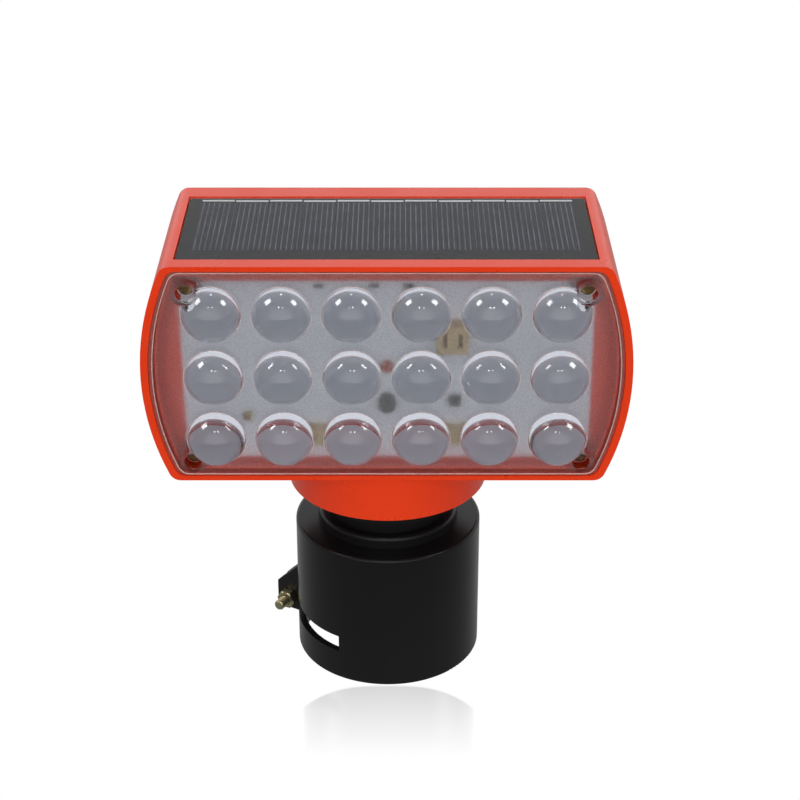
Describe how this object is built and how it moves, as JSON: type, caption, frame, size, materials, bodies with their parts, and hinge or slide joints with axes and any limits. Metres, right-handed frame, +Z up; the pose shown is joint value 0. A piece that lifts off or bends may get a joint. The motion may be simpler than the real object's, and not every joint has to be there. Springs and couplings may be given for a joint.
{
  "type": "barricade warning light",
  "caption": "Solar barricade warning light: barrel-shaped head with domed lens and top panel, turning on a split clamp socket for a round post.",
  "frame": {"origin": "centre of the post socket's open bottom rim", "axes": "+Z up along the post, the lens faces -Y, +X to the right seen from the front of the lens"},
  "size_m": [0.2002, 0.1047, 0.203],
  "materials": {
    "orange_plastic": "moulded ABS, satin gloss",
    "black_plastic": "moulded nylon, satin",
    "clear_lens": "clear polycarbonate, frosted between the domes",
    "clear_resin": "clear epoxy sheet",
    "silicone": "translucent silicone",
    "black_rubber": "moulded rubber",
    "nylon": "natural nylon",
    "yellow_zinc": "yellow zinc plated steel",
    "bright_zinc": "bright zinc plated steel",
    "bronze_screw": "bronzed steel",
    "stainless": "stainless steel",
    "white_board": "white solder mask on glass fibre board",
    "led_white": "white lamp body",
    "led_resin": "tinted lamp resin",
    "beige_nylon": "natural nylon connector",
    "black_epoxy": "black epoxy",
    "dark_can": "sleeved aluminium can",
    "sensor_face": "coated ceramic disc",
    "panel_board": "black glass fibre board",
    "solar_cell": "silicon cell",
    "tinned_ribbon": "tinned copper ribbon",
    "sealant": "black sealant",
    "cell_wrap": "shrink wrap",
    "black_matte": "moulded holder",
    "foam_tape": "foam tape",
    "nickel": "nickel plated steel",
    "red_wire": "red insulation",
    "black_wire": "black insulation"
  },
  "bodies": {
    "base": {"post_socket": "black_plastic", "neck": "black_plastic", "neck_screws": "bright_zinc", "clamp_bolt": "yellow_zinc", "clamp_washer": "yellow_zinc"},
    "nut": {"clamp_nut": "yellow_zinc"},
    "head": {"housing": "orange_plastic", "swivel_skirt": "orange_plastic", "skirt_screws": "bright_zinc", "lens": "clear_lens", "lens_gasket": "silicone", "lens_screws": "bronze_screw", "led_board": "white_board", "board_screws": "bronze_screw", "led_packages": "led_white", "led_emitters": "led_resin", "driver_chip": "black_epoxy", "capacitor": "dark_can", "light_sensor": "sensor_face", "resistors": "black_epoxy", "diodes": "black_epoxy", "panel_sealant": "sealant", "solar_backboard": "panel_board", "solar_cells": "solar_cell", "solar_ribbons": "tinned_ribbon", "solar_cover": "clear_resin", "battery_cell": "cell_wrap", "battery_holder": "black_matte", "battery_tape": "foam_tape", "battery_contacts": "nickel", "positive_leads": "red_wire", "negative_leads": "black_wire", "switch_body": "black_matte", "switch_seal": "black_rubber", "switch_nut": "nickel", "switch_terminals": "nickel", "pivot_bolt": "stainless", "pivot_o_ring": "black_rubber", "friction_washers": "nylon", "pivot_washer": "stainless", "wave_washer": "stainless", "pivot_nut": "stainless", "battery_connector": "beige_nylon", "solar_connector": "beige_nylon", "switch_connector": "beige_nylon"},
    "button": {"switch_button": "black_rubber"}
  },
  "joints": [
    {"name": "head_swivel", "type": "hinge", "parent": "base", "child": "head", "pos_m": [0, 0, 0.1052], "axis": [0, 0, 1], "continuous": true},
    {"name": "clamp_nut_turn", "type": "hinge", "parent": "base", "child": "nut", "pos_m": [-0.04652, 0.02022, 0.0069], "axis": [-0.5, -0.866, 0], "continuous": true},
    {"name": "switch_press", "type": "slide", "parent": "head", "child": "button", "axis": [0, -1, 0], "range_m": [0, 0.002], "stiffness_N_per_m": 600, "springref_m": -0.0005}
  ]
}
